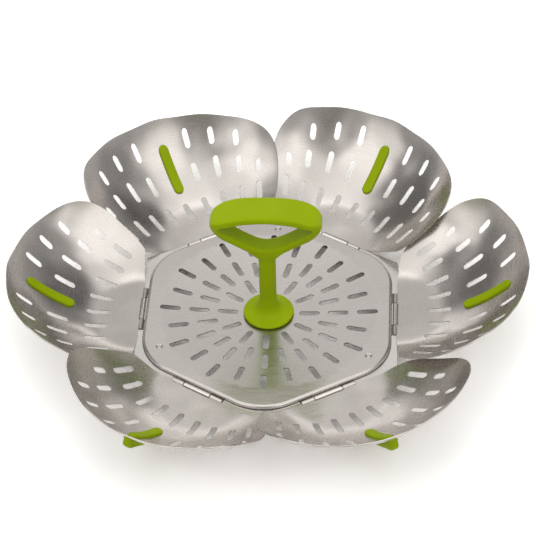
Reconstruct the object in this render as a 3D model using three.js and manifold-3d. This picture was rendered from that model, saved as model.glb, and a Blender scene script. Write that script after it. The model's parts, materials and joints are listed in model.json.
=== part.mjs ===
// Folding steamer basket: a perforated plate on a six-sided hinge frame, six perforated leaves
// that fold up round it, a rubber foot through each leaf, and a loop handle on a stem.
// Millimetres, +Z up. The origin is on the basket's axis at the level of the surface it stands on.
import * as THREE from "three";
import { mergeVertices } from "three/addons/utils/BufferGeometryUtils.js";
import Module from "manifold-3d";

// Levels
const standHeight = 9.4;          // top of the plate's rim above the surface below
const sheet = 0.6;                // leaf sheet thickness
const seatGap = 0.3;              // air kept between pieces that touch
const overrun = 60;               // how far a cut runs past what it cuts
const weld = 1e-4;                // points nearer than this are one point
const hingeRadius = 66;           // axis of the basket to each hinge axis

// Plate
const plateSheet = 0.8;
const plateSkirt = 1.8;           // depth of its turned-down edge
const plateCornerShare = 0.4167;  // radius of its corners, as a share of the hinge radius
const plateEdgeGap = 2.4;         // hinge axis to the plate's flats
const cornerSteps = 4;
const dishDepth = 3.1;
const dishInset = 6.3;            // plate's flats to the dish's rim
const dishRingShares = [0, 0.4703, 0.7347, 1];
const dishSides = 24;
const plateSlotWidth = 3.1;
const plateSlotLength = 10.9;
const evenRingShares = [0.373, 0.634, 0.901];   // rows of slots at every 30 degrees
const oddRingShares = [0.565, 0.834];           // rows halfway between them
const slotsPerRing = 12;
const slotEndSteps = 3;
const bossRadius = 1.6;           // feet of the plate on the frame
const bossInset = 7.2;            // a corner's tip to the boss in it
const bossAngles = [-150, -30, 90];
const bossSides = 8;

// Frame
const frameThick = 0.9;
const frameEdgeGap = 0.7;         // hinge axis to the frame's sides
const frameCornerClip = 0.8;      // taken off each corner of the hexagon
const frameHoleRoom = 0.3;        // dish's rim to the hole under it
const notchDepth = 1.7;           // room in the frame for the leaf's knuckles
const collarThick = 0.9;
const collarFlange = 4;           // width of the collar's foot on the surface
const frameSteps = 36;

// Hinges
const leafCount = 6;
const knuckleRadius = 1.9;
const pinRadius = 1.0;
const frameKnuckleHalf = 7.8;     // half length of the frame's middle knuckle
const knuckleGap = 0.4;
const leafKnuckle = 6.9;          // length of each of a leaf's two knuckles
const pinInset = 0.1;
const knuckleSides = 8;
const pinSides = 8;

// Leaves: a sphere that runs into a flat land along the hinge
const leafLengthShare = 1.0197;   // hinge axis to the rim's end, as a share of the hinge radius
const leafHalfShare = 0.8187;     // half of the leaf's width, as a share of its length
const leafShift = 3.5;            // the leaf's middle line is turned this far round from its hinge
const bowlRadiusShare = 1.168;    // the sphere's radius, as a share of the leaf's length
const bowlSetBack = 0.3;          // hinge axis to the sphere's centre, seen from above
const bowlCentreSide = 4.2;
const bowlDip = 6.2;              // how far the whole sphere would go below the plate's top
const landSlope = 0.01;
const landBlend = 1.2;
const edgeSetOut = 0.25;          // hinge axis to the straight edge beside the knuckles
const notchSlack = 0.6;           // room round the frame's knuckle
const gridMargin = 3.2;
const leafStepsOut = 7;
const leafStepsAcross = 10;
const rimPoints = 33;
// rim of a leaf: share of the length, shares of the half width on the lapping and lapped sides
const rimShares = [
  [0.031, 0.606, 0.56],
  [0.039, 0.693, 0.64],
  [0.062, 0.766, 0.722],
  [0.125, 0.83, 0.79],
  [0.207, 0.906, 0.86],
  [0.302, 0.965, 0.91],
  [0.397, 0.994, 0.962],
  [0.502, 0.984, 0.98],
  [0.603, 0.924, 0.952],
  [0.712, 0.818, 0.887],
  [0.82, 0.652, 0.725],
  [0.911, 0.465, 0.538],
  [0.967, 0.241, 0.321],
  [1, 0.03, 0.04],
];
// the hinge edge draws back towards its ends: share of the length, share of the half width
const edgeLappedShares = [
  [0.0238, 0.544],
  [0.0149, 0.472],
  [0.0089, 0.363],
];
const edgeLappingShares = [
  [0.0104, -0.336],
  [0.0178, -0.408],
  [0.0238, -0.472],
];
const leafSlotWidth = 3.1;
const leafSlotLength = 12.6;
const slotSkewShare = 0.026;      // how far the rows run out towards the lapped side
// middles of a leaf's slots: share of the length, share of the half width to each side,
// and how much of the slot's length is seen from above
const leafSlotShares = [
  [0.3445, 0, 0.98],
  [0.34, 0.189, 0.98],
  [0.319, 0.368, 0.96],
  [0.2775, 0.548, 0.9],
  [0.224, 0.697, 0.875],
  [0.623, 0.238, 0.825],
  [0.593, 0.456, 0.81],
  [0.51, 0.648, 0.635],
  [0.402, 0.795, 0.49],
  [0.851, 0.27, 0.6],
  [0.786, 0.506, 0.515],
  [0.67, 0.713, 0.475],
];

// Feet
const footLine = 2.8;             // the foot's plane beside the hinge's middle
const stripMiddleShare = 0.701;   // hinge axis to the strip's middle, as a share of the length
const stripLength = 20.4;
const stripHalf = 2.7;
const stripProud = 1.2;
const neckHalf = 1.1;
const neckSlack = 0.4;
const neckInset = 4.2;
const finHalf = 2.2;
const finDepth = 8.7;             // greatest depth of the fin below the leaf
// edge of the fin: share of the leaf's length, share of its depth below the leaf
const finEdgeShares = [
  [0.920, 0.448],
  [0.936, 0.839],
  [0.938, 0.954],
  [0.926, 1.000],
  [0.884, 0.805],
  [0.841, 0.701],
  [0.795, 0.609],
  [0.744, 0.529],
  [0.689, 0.471],
  [0.632, 0.379],
  [0.579, 0.276],
  [0.535, 0.149],
  [0.511, 0.046],
];
// points above the leaf that close the fin's outline before the leaf's shape is taken from it
const finCrownShares = [
  [0.508, -0.172],
  [0.557, -0.287],
  [0.684, -0.460],
  [0.802, -0.460],
  [0.912, -0.287],
];

// Handle
const stemRadius = 4.4;
const discRadius = 13.2;
const discThick = 1.8;
const discRound = 0.6;
const flareHeight = 12.6;
const handleSides = 24;
// flare from the disc to the stem: share of the step in radius, share of the height
const flareShares = [
  [0.477, 0.23],
  [0.205, 0.389],
  [0.068, 0.651],
  [0, 1],
];
const stemTopShare = 0.6;         // where the stem ends inside the loop's lower band
const loopFoot = 38.2;            // bottom of the loop above the plate's top
const loopRise = 32.8;
const loopHalf = 28.3;
const loopDeep = 8.8;             // half depth of the loop's top
const topBand = 4.2;
const sideBand = 5.1;
const lowerBand = 7.6;
// half of the loop's outer outline: share of the half width, share of the rise
const loopOuterShares = [
  [0, 0],
  [0.148, 0.024],
  [0.304, 0.159],
  [0.587, 0.329],
  [0.799, 0.451],
  [0.94, 0.579],
  [1, 0.695],
  [0.975, 0.768],
  [0.883, 0.835],
  [0.615, 0.927],
  [0.318, 0.985],
  [0, 1],
];
// the same for the finger opening
const openingShares = [
  [0, 0],
  [0.328, 0.114],
  [0.655, 0.333],
  [0.888, 0.543],
  [1, 0.695],
  [0.948, 0.8],
  [0.621, 0.924],
  [0.302, 0.981],
  [0, 1],
];
// half depth of the loop: share of the rise, share of the depth
const loopDepthShares = [
  [-0.067, 0.489],
  [0.177, 0.568],
  [0.421, 0.614],
  [0.573, 0.75],
  [0.71, 0.955],
  [0.787, 1],
  [0.939, 1],
  [0.982, 0.932],
  [1.03, 0.773],
];
const loopCurvePoints = 28;

// Fixing under the plate
const screwRadius = 2.0;
const screwGrip = 11;             // length of the screw inside the handle
const screwEndRoom = 3;
const screwHeadRadius = 4.2;
const screwHeadChamfer = 0.85;
const screwHead = 1.7;
const holeSlack = 0.6;
const washerRadius = 7.5;
const washerThick = 0.9;
const turnedSides = 16;

// Worked out from the sizes above
const hexHalf = Math.PI / leafCount;
const frameTop = plateSkirt + seatGap;
const hingeDrop = frameTop + frameThick / 2;
const knuckleBore = pinRadius + seatGap;
const leafKnuckleStart = frameKnuckleHalf + knuckleGap;
const leafKnuckleEnd = leafKnuckleStart + leafKnuckle;
const pinHalf = leafKnuckleEnd - pinInset;
const plateFlat = hingeRadius - plateEdgeGap;
const plateCorner = hingeRadius * plateCornerShare;
const dishRadius = plateFlat - dishInset;
const frameHole = dishRadius + frameHoleRoom;
const plateReach = (plateFlat - plateCorner) / Math.cos(hexHalf) + plateCorner;
const frameEdge = hingeRadius - frameEdgeGap;
const frameCornerCut = frameEdge / Math.cos(hexHalf) - frameCornerClip;
const leafLength = hingeRadius * leafLengthShare;
const leafHalf = leafLength * leafHalfShare;
const bowlRadius = leafLength * bowlRadiusShare;
const bowlCentreUp = bowlRadius - bowlDip;
const bowlCentreOut = hingeRadius - bowlSetBack;
const landLevel = sheet / 2 - hingeDrop;
const stripMiddle = hingeRadius + leafLength * stripMiddleShare;
const plateHole = screwRadius + holeSlack;
const plateBottom = -dishDepth - plateSheet;

const wasm = await Module();
wasm.setup();

const steel = { color: 0xb9b5b0, roughness: 0.32, metalness: 1.0 };
const wire = { color: 0x9d9a96, roughness: 0.28, metalness: 1.0 };
const rubber = { color: 0x8fa300, roughness: 0.6, metalness: 0.0 };
const plastic = { color: 0x9bb200, roughness: 0.5, metalness: 0.0 };

const basket = new THREE.Group();
basket.name = "folding_steamer_basket";

// A closed geometry as a solid that can be joined and cut.
function solid(geometry) {
  const bare = geometry.index ? geometry.toNonIndexed() : geometry.clone();
  for (const name of Object.keys(bare.attributes)) {
    if (name !== "position") bare.deleteAttribute(name);
  }
  const merged = mergeVertices(bare, weld);
  return new wasm.Manifold(
    new wasm.Mesh({
      numProp: 3,
      vertProperties: new Float32Array(merged.attributes.position.array),
      triVerts: new Uint32Array(merged.index.array),
    }),
  );
}

// A solid back as a geometry with flat faces.
function geometryOf(made) {
  const mesh = made.getMesh();
  const shared = new THREE.BufferGeometry();
  shared.setAttribute("position", new THREE.BufferAttribute(mesh.vertProperties, 3));
  shared.setIndex(new THREE.BufferAttribute(mesh.triVerts, 1));
  const flat = shared.toNonIndexed();
  flat.computeVertexNormals();
  return flat;
}

function piece(name, geometry, look, parent) {
  const mesh = new THREE.Mesh(geometry, new THREE.MeshStandardMaterial(look));
  mesh.name = name;
  parent.add(mesh);
  return mesh;
}

// A prism over a flat outline given as [x, y] pairs, between two heights.
function prism(points, bottom, top) {
  const outline = new THREE.Shape(points.map(([x, y]) => new THREE.Vector2(x, y)));
  const made = new THREE.ExtrudeGeometry(outline, { depth: top - bottom, bevelEnabled: false });
  made.translate(0, 0, bottom);
  return solid(made);
}

// A plate standing in the X-Z plane, from an outline of [x, z] pairs.
function standing(points, middle, half) {
  const outline = new THREE.Shape(points.map(([x, z]) => new THREE.Vector2(x, z)));
  const made = new THREE.ExtrudeGeometry(outline, { depth: 2 * half, bevelEnabled: false });
  made.translate(0, 0, -half);
  made.rotateX(Math.PI / 2);
  made.translate(0, middle, 0);
  return solid(made);
}

// A slot with round ends, its length along the given direction in radians.
function slotOutline(x, y, length, width, direction) {
  const points = [];
  const reach = length / 2 - width / 2;
  for (const side of [1, -1]) {
    for (let i = 0; i <= slotEndSteps; i++) {
      const turn = -Math.PI / 2 + (Math.PI * i) / slotEndSteps;
      const along = side * (reach + (width / 2) * Math.cos(turn));
      const across = side * (width / 2) * Math.sin(turn);
      points.push([
        x + along * Math.cos(direction) - across * Math.sin(direction),
        y + along * Math.sin(direction) + across * Math.cos(direction),
      ]);
    }
  }
  return points;
}

// A bar along Y.
function barAcross(radius, from, to, x, z, sides) {
  const bar = new THREE.CylinderGeometry(radius, radius, to - from, sides, 1);
  bar.translate(x, (from + to) / 2, z);
  return solid(bar);
}

// A turned solid about Z, from [radius, z] pairs.
function turned(profile, sides) {
  const lathe = new THREE.LatheGeometry(profile.map(([r, z]) => new THREE.Vector2(r, z)), sides);
  lathe.rotateX(Math.PI / 2);
  return solid(lathe);
}

// Inner face of a leaf in its open position.
function bowlHeight(out, across) {
  const beside = across - bowlCentreSide;
  const away = out - bowlCentreOut;
  const under = Math.max(sheet ** 2, bowlRadius ** 2 - away ** 2 - beside ** 2);
  const bowl = bowlCentreUp - Math.sqrt(under);
  const land = landLevel + landSlope * (out - hingeRadius);
  return 0.5 * (bowl + land + Math.sqrt((bowl - land) ** 2 + landBlend ** 2));
}

// The same face moved outwards through the sheet by a distance.
function bowlOffset(out, across, distance) {
  const rise = (bowlHeight(out + sheet, across) - bowlHeight(out - sheet, across)) / (2 * sheet);
  const tilt = (bowlHeight(out, across + sheet) - bowlHeight(out, across - sheet)) / (2 * sheet);
  return bowlHeight(out, across) - distance * Math.sqrt(1 + rise ** 2 + tilt ** 2);
}

// Even steps along the bowl, as places on a line through its middle.
function bowlPlaces(from, to, middle, steps) {
  const first = Math.asin((from - middle) / bowlRadius);
  const last = Math.asin((to - middle) / bowlRadius);
  const places = [];
  for (let i = 0; i <= steps; i++) {
    places.push(middle + bowlRadius * Math.sin(first + ((last - first) * i) / steps));
  }
  return places;
}

// A slab that follows the bowl between two distances from its inner face.
function bowlSlab(outer, inner) {
  const from = hingeRadius - knuckleRadius;
  const to = hingeRadius + leafLength + gridMargin;
  const half = leafHalf + gridMargin;
  const length = to - from;
  const width = 2 * half;
  const slab = new THREE.BoxGeometry(length, width, sheet, leafStepsOut, leafStepsAcross, 1);
  const outwards = bowlPlaces(from, to, bowlCentreOut, leafStepsOut);
  const sideways = bowlPlaces(leafShift - half, leafShift + half, leafShift, leafStepsAcross);
  const spots = slab.attributes.position;
  for (let i = 0; i < spots.count; i++) {
    const out = outwards[Math.round((spots.getX(i) / length + 0.5) * leafStepsOut)];
    const across = sideways[Math.round((spots.getY(i) / width + 0.5) * leafStepsAcross)];
    const distance = spots.getZ(i) < 0 ? outer : inner;
    spots.setXYZ(i, out, across, bowlOffset(out, across, distance));
  }
  return solid(slab);
}

// The plan of a leaf, with its tongues for the knuckles and the notch for the frame's knuckle.
function leafOutline() {
  const spot = (out, side) =>
    new THREE.Vector2(hingeRadius + out * leafLength, leafShift + side * leafHalf);
  const lapping = rimShares.map(([out, side]) => spot(out, -side));
  const lapped = rimShares.map(([out, , side]) => spot(out, side));
  const curve = new THREE.SplineCurve([...lapping, ...lapped.reverse()]);
  const edgeSpot = ([out, side]) => [hingeRadius + out * leafLength, side * leafHalf];
  const points = curve.getPoints(rimPoints).map((p) => [p.x, p.y]);
  const inner = frameKnuckleHalf + seatGap;
  const leafEdge = hingeRadius + edgeSetOut;
  const notchOuter = hingeRadius + knuckleRadius + notchSlack;
  points.push(...edgeLappedShares.map(edgeSpot));
  points.push([leafEdge, leafKnuckleEnd]);
  points.push([hingeRadius, leafKnuckleEnd]);
  points.push([hingeRadius, leafKnuckleStart]);
  points.push([notchOuter, inner]);
  points.push([notchOuter, -inner]);
  points.push([hingeRadius, -leafKnuckleStart]);
  points.push([hingeRadius, -leafKnuckleEnd]);
  points.push([leafEdge, -leafKnuckleEnd]);
  points.push(...edgeLappingShares.map(edgeSpot));
  return points;
}

// Each slot's middle and its length as seen from above.
function leafSlots() {
  const all = [];
  for (const [outShare, sideShare, lengthShare] of leafSlotShares) {
    const out = hingeRadius + outShare * leafLength;
    const side = sideShare * leafHalf;
    const length = lengthShare * leafSlotLength;
    all.push([out + slotSkewShare * side, leafShift + side, length]);
    if (side > 0) all.push([out - slotSkewShare * side, leafShift - side, length]);
  }
  return all;
}

function makeLeaf() {
  let leaf = bowlSlab(sheet, 0).intersect(prism(leafOutline(), -overrun, overrun));
  for (const side of [1, -1]) {
    const from = side > 0 ? leafKnuckleStart : -leafKnuckleEnd;
    const to = side > 0 ? leafKnuckleEnd : -leafKnuckleStart;
    leaf = leaf.add(barAcross(knuckleRadius, from, to, hingeRadius, -hingeDrop, knuckleSides));
  }
  const reach = leafKnuckleEnd + overrun;
  leaf = leaf.subtract(
    barAcross(knuckleBore, -reach, reach, hingeRadius, -hingeDrop, knuckleSides),
  );
  for (const [out, across, length] of leafSlots()) {
    const ray = Math.atan2(across, out);
    const outline = slotOutline(out, across, length, leafSlotWidth, ray);
    leaf = leaf.subtract(prism(outline, -overrun, overrun));
  }
  const neckLength = stripLength - 2 * neckInset + 2 * neckSlack;
  const neckWidth = 2 * (neckHalf + neckSlack);
  const neckSlot = slotOutline(stripMiddle, footLine, neckLength, neckWidth, 0);
  return leaf.subtract(prism(neckSlot, -overrun, overrun));
}

// A foot: a strip on the inner face, a neck through the leaf and a fin outside
function makeFoot() {
  const lift = seatGap + stripProud;
  const plan = slotOutline(stripMiddle, footLine, stripLength + stripHalf, 2 * stripHalf, 0);
  const strip = bowlSlab(-seatGap, -lift).intersect(prism(plan, -overrun, overrun));
  const edge = [...finEdgeShares, ...finCrownShares].map(([outShare, depthShare]) => {
    const out = hingeRadius + outShare * leafLength;
    return [out, bowlOffset(out, footLine, sheet) - depthShare * finDepth];
  });
  const blade = standing(edge, footLine, finHalf);
  const fin = blade.subtract(bowlSlab(sheet + seatGap, -overrun));
  const slot = slotOutline(stripMiddle, footLine, stripLength - 2 * neckInset, 2 * neckHalf, 0);
  const neck = bowlSlab(sheet + 2 * seatGap, -lift / 2).intersect(
    prism(slot, -overrun, overrun),
  );
  return strip.add(neck).add(fin);
}

// Leaves, feet and hinge pins, one set on each side
const leafSolid = makeLeaf();
const footSolid = makeFoot();
for (let i = 0; i < leafCount; i++) {
  const side = new THREE.Group();
  side.rotation.z = (2 * Math.PI * i) / leafCount;
  side.position.z = standHeight;
  basket.add(side);
  piece(`petal_${i + 1}`, geometryOf(leafSolid), steel, side);
  piece(`foot_${i + 1}`, geometryOf(footSolid), rubber, side);
  const pin = new THREE.CylinderGeometry(pinRadius, pinRadius, 2 * pinHalf, pinSides, 1);
  const placed = piece(`hinge_pin_${i + 1}`, pin, wire, side);
  placed.position.set(hingeRadius, 0, -hingeDrop);
}

// A hexagon with round corners, by the distance to its flats.
function roundHexagon(flat, corner, stepsPerCorner) {
  const points = [];
  const reach = (flat - corner) / Math.cos(hexHalf);
  for (let i = 0; i < leafCount; i++) {
    const middle = hexHalf + 2 * hexHalf * i;
    for (let j = 0; j <= stepsPerCorner; j++) {
      const turn = middle - hexHalf + (2 * hexHalf * j) / stepsPerCorner;
      points.push([
        reach * Math.cos(middle) + corner * Math.cos(turn),
        reach * Math.sin(middle) + corner * Math.sin(turn),
      ]);
    }
  }
  return points;
}

// Plate: a shallow dish with a turned-down edge
function dishHeight(radius) {
  return -dishDepth * Math.max(0, 1 - (radius / dishRadius) ** 2);
}

// The dish's upper face, which is straight from ring to ring.
function dishFace(radius) {
  const rings = dishRingShares.map((share) => share * dishRadius);
  const next = rings.findIndex((ring) => ring >= radius);
  const [near, far] = [rings[next - 1], rings[next]];
  const part = (radius - near) / (far - near);
  return dishHeight(near) * (1 - part) + dishHeight(far) * part;
}

function makePlate() {
  const rings = [...dishRingShares.map((share) => share * dishRadius), plateReach + plateCorner];
  const cap = turned(
    [
      ...rings.map((r) => [r, dishHeight(r) - plateSheet]),
      ...rings.map((r) => [r, dishHeight(r)]).reverse(),
    ],
    dishSides,
  ).rotate([0, 0, 180 / dishSides]);
  const rimLine = roundHexagon(plateFlat, plateCorner, cornerSteps);
  let plate = cap.intersect(prism(rimLine, -overrun, overrun));
  const skirt = prism(rimLine, -plateSkirt, -plateSheet / 2);
  const inside = roundHexagon(plateFlat - plateSheet, plateCorner - plateSheet, cornerSteps);
  plate = plate.add(skirt.subtract(prism(inside, -overrun, overrun)));
  const bossRing = plateReach - bossInset;
  const bossTall = plateSkirt - plateSheet / 2;
  for (const angle of bossAngles) {
    const turn = (angle * Math.PI) / 180;
    const boss = new THREE.CylinderGeometry(bossRadius, bossRadius, bossTall, bossSides, 1);
    boss.rotateX(Math.PI / 2);
    boss.translate(bossRing * Math.cos(turn), bossRing * Math.sin(turn), bossTall / 2 - plateSkirt);
    plate = plate.add(solid(boss));
  }
  const cuts = [];
  for (let k = 0; k < slotsPerRing; k++) {
    for (const share of evenRingShares) cuts.push([share, (2 * Math.PI * k) / slotsPerRing]);
    for (const share of oddRingShares) cuts.push([share, (2 * Math.PI * (k + 0.5)) / slotsPerRing]);
  }
  for (const [share, turn] of cuts) {
    const ring = share * dishRadius;
    const x = ring * Math.cos(turn);
    const y = ring * Math.sin(turn);
    const outline = slotOutline(x, y, plateSlotLength, plateSlotWidth, turn);
    plate = plate.subtract(prism(outline, -overrun, overrun));
  }
  const hole = new THREE.CylinderGeometry(plateHole, plateHole, overrun, turnedSides, 1);
  hole.rotateX(Math.PI / 2);
  return plate.subtract(solid(hole));
}
piece("base_plate", geometryOf(makePlate()), steel, basket).position.z = standHeight;

// Frame: a six-sided ring with a knuckle on each side, on a collar that stands on the surface
function frameOutline() {
  const points = [];
  const notchFrom = frameKnuckleHalf;
  const notchTo = leafKnuckleEnd + seatGap;
  const side = [
    [frameEdge, -notchTo],
    [frameEdge - notchDepth, -notchTo],
    [frameEdge - notchDepth, -notchFrom],
    [hingeRadius, -notchFrom],
    [hingeRadius, notchFrom],
    [frameEdge - notchDepth, notchFrom],
    [frameEdge - notchDepth, notchTo],
    [frameEdge, notchTo],
  ];
  for (let i = 0; i < leafCount; i++) {
    const turn = (2 * Math.PI * i) / leafCount;
    const cos = Math.cos(turn);
    const sin = Math.sin(turn);
    const reach = cornerSide();
    const all = [[frameEdge, -reach], ...side, [frameEdge, reach]];
    for (const [out, across] of all) points.push([out * cos - across * sin, out * sin + across * cos]);
  }
  return points;
}

// Where the clipped corner meets a side, measured from the side's middle.
function cornerSide() {
  return (frameCornerCut - frameEdge * Math.cos(hexHalf)) / Math.sin(hexHalf);
}

function ring(radius, bottom, top, steps) {
  const tube = new THREE.CylinderGeometry(radius, radius, top - bottom, steps, 1);
  tube.rotateX(Math.PI / 2);
  tube.translate(0, 0, (bottom + top) / 2);
  return solid(tube);
}

function makeFrame() {
  const bottom = -frameTop - frameThick;
  let frame = prism(frameOutline(), bottom, -frameTop);
  const collarTop = -frameTop - frameThick / 2;
  frame = frame.add(ring(frameHole + collarThick, -standHeight, collarTop, frameSteps));
  const footTop = collarThick - standHeight;
  frame = frame.add(ring(frameHole + collarFlange, -standHeight, footTop, frameSteps));
  frame = frame.subtract(ring(frameHole, -overrun, overrun, frameSteps));
  for (let i = 0; i < leafCount; i++) {
    const turn = (360 * i) / leafCount;
    const half = frameKnuckleHalf;
    const knuckle = barAcross(knuckleRadius, -half, half, hingeRadius, -hingeDrop, knuckleSides);
    const past = leafKnuckleEnd + seatGap;
    const bore = barAcross(knuckleBore, -past, past, hingeRadius, -hingeDrop, knuckleSides);
    frame = frame.add(knuckle.rotate([0, 0, turn])).subtract(bore.rotate([0, 0, turn]));
  }
  return frame;
}
piece("hinge_frame", geometryOf(makeFrame()), steel, basket).position.z = standHeight;

// Handle: its disc stands in the dish, just clear of it
const handleBase = dishFace(discRadius) + seatGap;

function mirrored(half) {
  const left = half.slice(1, -1).map(([x, z]) => [-x, z]);
  return [...half, ...left.reverse()];
}

// A closed smooth outline from shares of a half width and of a rise above a foot.
function smoothLoop(shares, half, foot, rise) {
  const placed = shares.map(([across, up]) => [across * half, foot + up * rise]);
  const points = mirrored(placed).map(([x, z]) => new THREE.Vector2(x, z));
  const curve = new THREE.SplineCurve([...points, points[0]]);
  return curve.getPoints(loopCurvePoints).slice(0, -1).map((p) => [p.x, p.y]);
}

function makeHandle() {
  const step = discRadius - stemRadius;
  const foot = turned(
    [
      [0, handleBase],
      [discRadius - discRound, handleBase],
      [discRadius, handleBase + discRound],
      [discRadius, handleBase + discThick - discRound],
      [discRadius - discRound, handleBase + discThick],
      ...flareShares.map(([r, z]) => [stemRadius + r * step, handleBase + z * flareHeight]),
      [stemRadius, loopFoot + stemTopShare * lowerBand],
      [0, loopFoot + stemTopShare * lowerBand],
    ],
    handleSides,
  );
  const outer = standing(smoothLoop(loopOuterShares, loopHalf, loopFoot, loopRise), 0, overrun);
  const opening = smoothLoop(
    openingShares,
    loopHalf - sideBand,
    loopFoot + lowerBand,
    loopRise - lowerBand - topBand,
  );
  const depth = loopDepthShares.map(([z, half]) => [half * loopDeep, loopFoot + z * loopRise]);
  const waistLine = [...depth, ...depth.map(([half, z]) => [-half, z]).reverse()];
  const waist = standing(waistLine, 0, overrun).rotate([0, 0, 90]);
  const loop = outer.intersect(waist).subtract(standing(opening, 0, 2 * overrun));
  const coreTop = handleBase + screwGrip + screwEndRoom;
  const core = ring(screwRadius + seatGap, handleBase - overrun, coreTop, turnedSides);
  return foot.add(loop).subtract(core);
}
piece("handle", geometryOf(makeHandle()), plastic, basket).position.z = standHeight;

// Screw and washer that hold the handle to the plate
const washerTop = plateBottom - seatGap;
const washer = turned(
  [
    [plateHole, washerTop - washerThick],
    [washerRadius, washerTop - washerThick],
    [washerRadius, washerTop],
    [plateHole, washerTop],
    [plateHole, washerTop - washerThick],
  ],
  turnedSides,
);
piece("handle_washer", geometryOf(washer), wire, basket).position.z = standHeight;
const headTop = washerTop - washerThick - seatGap;
const screw = turned(
  [
    [0, headTop - screwHead],
    [screwHeadRadius - screwHeadChamfer, headTop - screwHead],
    [screwHeadRadius, headTop - screwHead + screwHeadChamfer],
    [screwHeadRadius, headTop],
    [screwRadius, headTop],
    [screwRadius, handleBase + screwGrip],
    [0, handleBase + screwGrip],
  ],
  turnedSides,
);
piece("handle_screw", geometryOf(screw), wire, basket).position.z = standHeight;

export default basket;
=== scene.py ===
"""Looks of the folding steamer basket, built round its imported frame. Metres, +Z up."""

import json
import math

import bmesh
import bpy
import numpy as np
from mathutils import Matrix, Vector
from mathutils.geometry import delaunay_2d_cdt


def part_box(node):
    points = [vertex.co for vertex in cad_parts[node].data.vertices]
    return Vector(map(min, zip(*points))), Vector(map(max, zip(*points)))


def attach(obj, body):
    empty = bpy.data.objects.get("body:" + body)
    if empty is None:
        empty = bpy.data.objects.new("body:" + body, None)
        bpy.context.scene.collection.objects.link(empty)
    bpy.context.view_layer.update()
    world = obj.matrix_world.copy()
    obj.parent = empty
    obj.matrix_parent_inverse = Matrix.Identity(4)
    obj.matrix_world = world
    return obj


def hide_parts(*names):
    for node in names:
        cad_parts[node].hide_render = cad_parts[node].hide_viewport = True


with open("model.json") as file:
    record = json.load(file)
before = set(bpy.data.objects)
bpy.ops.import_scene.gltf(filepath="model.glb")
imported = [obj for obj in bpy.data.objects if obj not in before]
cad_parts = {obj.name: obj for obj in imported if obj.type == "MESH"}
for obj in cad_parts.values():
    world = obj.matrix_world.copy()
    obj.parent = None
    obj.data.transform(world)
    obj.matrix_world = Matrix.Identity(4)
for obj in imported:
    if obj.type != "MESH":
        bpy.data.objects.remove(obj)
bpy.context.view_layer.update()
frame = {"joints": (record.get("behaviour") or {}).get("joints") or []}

# Places taken from the frame. Shapes below are in millimetres, with heights from the plate's top
MM = 0.001
hinge = Vector(frame["joints"][0]["pos_m"])
plate_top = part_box("base_plate")[1].z
stand_height = plate_top / MM
hinge_radius = hinge.x / MM
hinge_level = (hinge.z - plate_top) / MM
pin_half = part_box("hinge_pin_1")[1].y / MM
plate_wider = 0.7               # the plate reaches this far past its solid at each flat
plate_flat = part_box("base_plate")[1].x / MM + plate_wider
handle_base = (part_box("handle")[0].z - plate_top) / MM
handle_top = (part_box("handle")[1].z - plate_top) / MM
loop_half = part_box("handle")[1].x / MM
disc_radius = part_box("handle")[1].y / MM
washer_low, washer_high = [corner.z / MM - stand_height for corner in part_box("handle_washer")]
washer_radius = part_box("handle_washer")[1].x / MM
screw_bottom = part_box("handle_screw")[0].z / MM - stand_height
screw_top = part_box("handle_screw")[1].z / MM - stand_height
screw_head_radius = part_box("handle_screw")[1].x / MM

leaf_count = 6
sector = 2 * math.pi / leaf_count
sheet = 0.6                     # leaf sheet thickness
leaf_length = hinge_radius * 1.0197
leaf_half = leaf_length * 0.8187
leaf_shift = 3.5                # its middle line lies this far to one side of its hinge's
bowl_radius = leaf_length * 1.168
bowl_out = hinge_radius - 0.3
bowl_side = 4.2
bowl_up = bowl_radius - 6.2
land_level = hinge_level + sheet / 2
land_slope = 0.01
land_blend = 1.2
knuckle_radius = 1.3
knuckle_bore = 0.95
knuckle_rounding = 0.25
pin_radius = 0.8
pin_rounding = 0.3
frame_knuckle_half = 7.8
knuckle_start = 8.2
knuckle_end = 15.1
hinge_edge = hinge_radius + 0.25    # a leaf's straight edge, beside its knuckles
leaf_notch_side = frame_knuckle_half + 0.3
leaf_notch_out = hinge_radius + knuckle_radius + 0.45
leaf_notch_cut = 0.5            # its corners are cut off by this much
slot_width = 3.1
leaf_slot_length = 12.6
plate_slot_length = 10.9
plate_sheet = 0.8
plate_corner = 28.4
plate_roll = 1.6                # outer radius where the plate turns down
skirt_bottom = -1.8
screw_hole = 2.6
dish_depth = 3.1
dish_radius = 57.3
foot_line = 2.8                 # the foot's plane beside the hinge's middle
stem_radius = 4.4

# rim of a leaf: share of the length, shares of the half width on the lapping and lapped sides
rim_shares = [
    (0.031, 0.74, 0.59), (0.039, 0.775, 0.65), (0.062, 0.8, 0.722), (0.125, 0.84, 0.79),
    (0.207, 0.906, 0.86), (0.302, 0.965, 0.91), (0.397, 0.994, 0.962), (0.502, 0.984, 0.98),
    (0.603, 0.924, 0.952), (0.712, 0.818, 0.887), (0.82, 0.652, 0.725), (0.911, 0.465, 0.538),
    (0.967, 0.241, 0.321), (1, 0.03, 0.04),
]
edge_lapped_shares = [(0.0238, 0.544), (0.0149, 0.472), (0.0089, 0.363)]
edge_lapping_shares = [(0.0104, -0.336), (0.0178, -0.408), (0.0238, -0.472)]
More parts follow.
